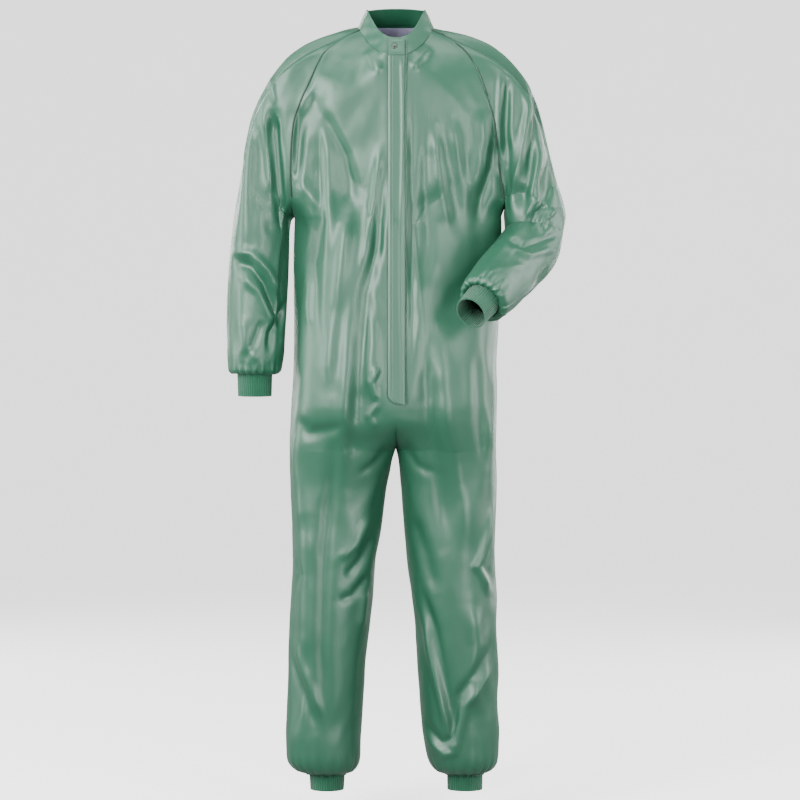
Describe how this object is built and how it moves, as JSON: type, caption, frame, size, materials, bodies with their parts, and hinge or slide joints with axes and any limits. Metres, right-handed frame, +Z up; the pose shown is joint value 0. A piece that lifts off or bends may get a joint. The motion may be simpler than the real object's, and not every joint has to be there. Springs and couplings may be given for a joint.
{
  "type": "coverall",
  "caption": "Woven satin coverall with raglan sleeves, stand collar, zip under a storm placket and knitted cuffs, worn with one arm bent.",
  "frame": {"origin": "middle of the neck opening, where the wearer holds the suit up", "axes": "+Z up, the front faces -Y, +X towards the wearer's left"},
  "size_m": [0.6647, 0.3911, 1.564],
  "materials": {
    "satin": "woven polyester with a satin shine",
    "knit": "ribbed knit",
    "piping": "covered cord",
    "facing": "plain weave lining",
    "zip_tape": "woven tape",
    "zip_teeth": "moulded teeth",
    "metal": "dull nickel"
  },
  "bodies": {
    "body": {"front_panel_right": "satin", "back_panel_right": "satin", "raglan_piping_front_right": "piping", "raglan_piping_back_right": "piping", "upper_sleeve_right": "satin", "elbow_fold_right": "satin", "hip_fold_right": "satin", "zip_tape_right": "zip_tape", "zip_teeth_right": "zip_teeth", "zip_top_stop_right": "metal", "front_panel_left": "satin", "back_panel_left": "satin", "raglan_piping_front_left": "piping", "raglan_piping_back_left": "piping", "upper_sleeve_left": "satin", "elbow_fold_left": "satin", "hip_fold_left": "satin", "zip_tape_left": "zip_tape", "zip_teeth_left": "zip_teeth", "zip_top_stop_left": "metal", "collar": "satin", "collar_lining": "satin", "back_neck_facing": "facing", "zip_bottom_stop": "metal", "zip_guard": "satin", "placket_base": "satin", "snap_stud": "metal", "collar_tab_base": "satin"},
    "forearm_right": {"forearm_sleeve_right": "satin", "wrist_cuff_right": "knit"},
    "thigh_right": {"thigh_front_right": "satin", "thigh_back_right": "satin", "knee_fold_right": "satin"},
    "shin_right": {"shin_front_right": "satin", "shin_back_right": "satin", "leg_hem_right": "satin", "ankle_cuff_right": "knit"},
    "forearm_left": {"forearm_sleeve_left": "satin", "wrist_cuff_left": "knit"},
    "thigh_left": {"thigh_front_left": "satin", "thigh_back_left": "satin", "knee_fold_left": "satin"},
    "shin_left": {"shin_front_left": "satin", "shin_back_left": "satin", "leg_hem_left": "satin", "ankle_cuff_left": "knit"},
    "slider": {"zip_slider": "metal"},
    "pull": {"zip_pull": "metal"},
    "placket": {"placket_flap": "satin"},
    "tab": {"collar_tab": "satin", "snap_socket": "metal", "snap_cap": "metal"}
  },
  "joints": [
    {"name": "elbow_right_bend", "type": "hinge", "parent": "body", "child": "forearm_right", "pos_m": [-0.27, -0.008, -0.462], "axis": [-1, 0, 0], "range_deg": [0, 75], "deforming": ["elbow_fold_right"]},
    {"name": "elbow_left_bend", "type": "hinge", "parent": "body", "child": "forearm_left", "pos_m": [0.284, -0.027, -0.414], "axis": [-0.7534, 0.6274, -0.1967], "range_deg": [-45, 12], "deforming": ["elbow_fold_left"]},
    {"name": "hip_right_swing", "type": "hinge", "parent": "body", "child": "thigh_right", "pos_m": [-0.108, 0, -0.876], "axis": [-1, 0, 0], "range_deg": [-8, 35], "deforming": ["hip_fold_right"]},
    {"name": "knee_right_bend", "type": "hinge", "parent": "thigh_right", "child": "shin_right", "pos_m": [-0.125, 0, -1.127], "axis": [1, 0, 0], "range_deg": [0, 60], "deforming": ["knee_fold_right"]},
    {"name": "hip_left_swing", "type": "hinge", "parent": "body", "child": "thigh_left", "pos_m": [0.108, 0, -0.876], "axis": [-1, 0, 0], "range_deg": [-8, 35], "deforming": ["hip_fold_left"]},
    {"name": "knee_left_bend", "type": "hinge", "parent": "thigh_left", "child": "shin_left", "pos_m": [0.125, 0, -1.127], "axis": [1, 0, 0], "range_deg": [0, 60], "deforming": ["knee_fold_left"]},
    {"name": "zip_slide", "type": "slide", "parent": "body", "child": "slider", "axis": [0, -0.071, -0.9975], "range_m": [0, 0.648]},
    {"name": "pull_lift", "type": "hinge", "parent": "slider", "child": "pull", "pos_m": [0, -0.09576, -0.0668], "axis": [-1, 0, 0], "range_deg": [0, 10]},
    {"name": "placket_open", "type": "hinge", "parent": "body", "child": "placket", "pos_m": [0.0168, -0.12381, -0.39664], "axis": [0, 0.071, 0.9975], "range_deg": [0, 150]},
    {"name": "collar_tab_open", "type": "hinge", "parent": "body", "child": "tab", "pos_m": [0.0168, -0.08999, -0.03166], "axis": [0, 0.4472, 0.8944], "range_deg": [0, 120]}
  ]
}
